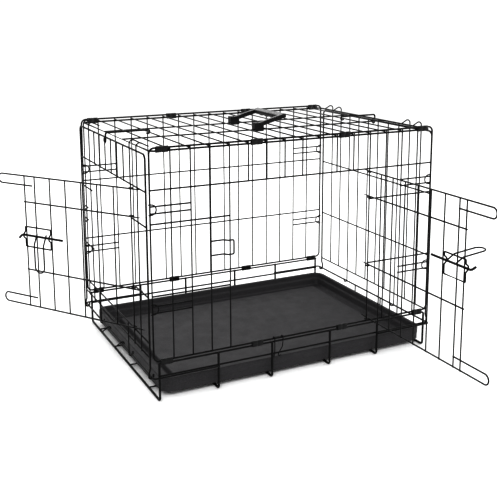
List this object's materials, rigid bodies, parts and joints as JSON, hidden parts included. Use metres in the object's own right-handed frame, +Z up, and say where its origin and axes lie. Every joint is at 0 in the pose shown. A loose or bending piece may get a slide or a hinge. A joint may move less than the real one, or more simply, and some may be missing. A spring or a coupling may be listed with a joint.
{
  "type": "wire dog crate",
  "caption": "Folding wire pet crate with a door on the front and on one end, a slide-out plastic floor tray and a folding carry handle on the roof.",
  "frame": {"origin": "on the floor, under the middle of the crate's body without its doors", "axes": "+X along the crate's length towards its doorless right end, -Y out of the front, which holds the long side's door, +Z up"},
  "size_m": [0.8314, 0.8169, 0.4992],
  "materials": {
    "black_wire": "satin black coating on steel wire",
    "black_steel": "satin black coating on pressed steel",
    "tray_plastic": "matt black, finely textured",
    "black_plastic": "satin black"
  },
  "bodies": {
    "crate": {"base_frame": "black_wire", "front_panel": "black_wire", "back_panel": "black_wire", "roof_panel": "black_wire", "front_handle_foot": "black_plastic", "back_handle_foot": "black_plastic", "back_bottom_hinge_clip_1": "black_steel", "back_bottom_hinge_clip_2": "black_steel", "back_bottom_hinge_clip_3": "black_steel", "back_bottom_hinge_clip_4": "black_steel", "back_top_hinge_clip_1": "black_steel", "back_top_hinge_clip_2": "black_steel", "back_top_hinge_clip_3": "black_steel", "back_top_hinge_clip_4": "black_steel", "front_bottom_hinge_clip_1": "black_steel", "front_bottom_hinge_clip_2": "black_steel", "front_bottom_hinge_clip_3": "black_steel", "front_bottom_hinge_clip_4": "black_steel", "front_top_hinge_clip_1": "black_steel", "front_top_hinge_clip_2": "black_steel", "front_top_hinge_clip_3": "black_steel", "front_top_hinge_clip_4": "black_steel"},
    "left_end": {"left_end_panel": "black_wire", "left_top_hook_1": "black_wire", "left_top_hook_2": "black_wire", "left_top_hook_3": "black_wire", "left_top_hook_4": "black_wire"},
    "right_end": {"right_end_panel": "black_wire", "right_top_hook_1": "black_wire", "right_top_hook_2": "black_wire", "right_top_hook_3": "black_wire", "right_top_hook_4": "black_wire"},
    "front_door": {"front_door": "black_wire", "front_door_bolt_guide": "black_wire"},
    "front_door_bolt": {"front_door_slide_bolt": "black_wire"},
    "left_door": {"left_door": "black_wire", "left_door_bolt_guide": "black_wire"},
    "left_door_bolt": {"left_door_slide_bolt": "black_wire"},
    "tray": {"tray": "tray_plastic"},
    "tray_stop": {"tray_stop": "black_wire"},
    "carry_handle": {"carry_handle": "black_plastic"},
    "fold_lock_hook": {"fold_lock_hook": "black_wire"},
    "left_roof_latch": {"left_roof_latch": "black_wire"},
    "right_roof_latch": {"right_roof_latch": "black_wire"}
  },
  "joints": [
    {"name": "left_end_fold", "type": "hinge", "parent": "crate", "child": "left_end", "pos_m": [-0.3124, 0, 0.0485], "axis": [0, 1, 0], "range_deg": [0, 86], "deforming": ["left_top_hook_1", "left_top_hook_2", "left_top_hook_3", "left_top_hook_4"]},
    {"name": "right_end_fold", "type": "hinge", "parent": "crate", "child": "right_end", "pos_m": [0.3124, 0, 0.0485], "axis": [0, -1, 0], "range_deg": [0, 90], "deforming": ["right_top_hook_1", "right_top_hook_2", "right_top_hook_3", "right_top_hook_4"]},
    {"name": "front_door_hinge", "type": "hinge", "parent": "crate", "child": "front_door", "pos_m": [0.1545, -0.225, 0.24], "axis": [0, 0, -1], "range_deg": [-75, 90]},
    {"name": "front_door_bolt_slide", "type": "slide", "parent": "front_door", "child": "front_door_bolt", "axis": [0, 1, 0], "range_m": [-0.019, 0.006]},
    {"name": "left_door_hinge", "type": "hinge", "parent": "left_end", "child": "left_door", "pos_m": [-0.3165, -0.13745, 0.25], "axis": [0, 0, -1], "range_deg": [-130, 35]},
    {"name": "left_door_bolt_slide", "type": "slide", "parent": "left_door", "child": "left_door_bolt", "axis": [0.5736, -0.8192, 0], "range_m": [-0.027, 0.0035]},
    {"name": "tray_slide", "type": "slide", "parent": "crate", "child": "tray", "axis": [-1, 0, 0], "range_m": [0, 0.62]},
    {"name": "tray_stop_hinge", "type": "hinge", "parent": "crate", "child": "tray_stop", "pos_m": [-0.3124, 0.004, 0.0485], "axis": [0, 1, 0], "range_deg": [-71, 105]},
    {"name": "carry_handle_hinge", "type": "hinge", "parent": "crate", "child": "carry_handle", "pos_m": [-0.0075, 0, 0.4797], "axis": [0, -1, 0], "range_deg": [-15, 75]},
    {"name": "fold_lock_hook_hinge", "type": "hinge", "parent": "crate", "child": "fold_lock_hook", "pos_m": [-0.051, -0.2225, 0.079], "axis": [-1, 0, 0], "range_deg": [0, 60]},
    {"name": "left_roof_latch_hinge", "type": "hinge", "parent": "crate", "child": "left_roof_latch", "pos_m": [-0.23175, 0, 0.4715], "axis": [0, 1, 0], "range_deg": [0, 60]},
    {"name": "right_roof_latch_hinge", "type": "hinge", "parent": "crate", "child": "right_roof_latch", "pos_m": [0.23175, 0, 0.4715], "axis": [0, -1, 0], "range_deg": [0, 60]}
  ]
}
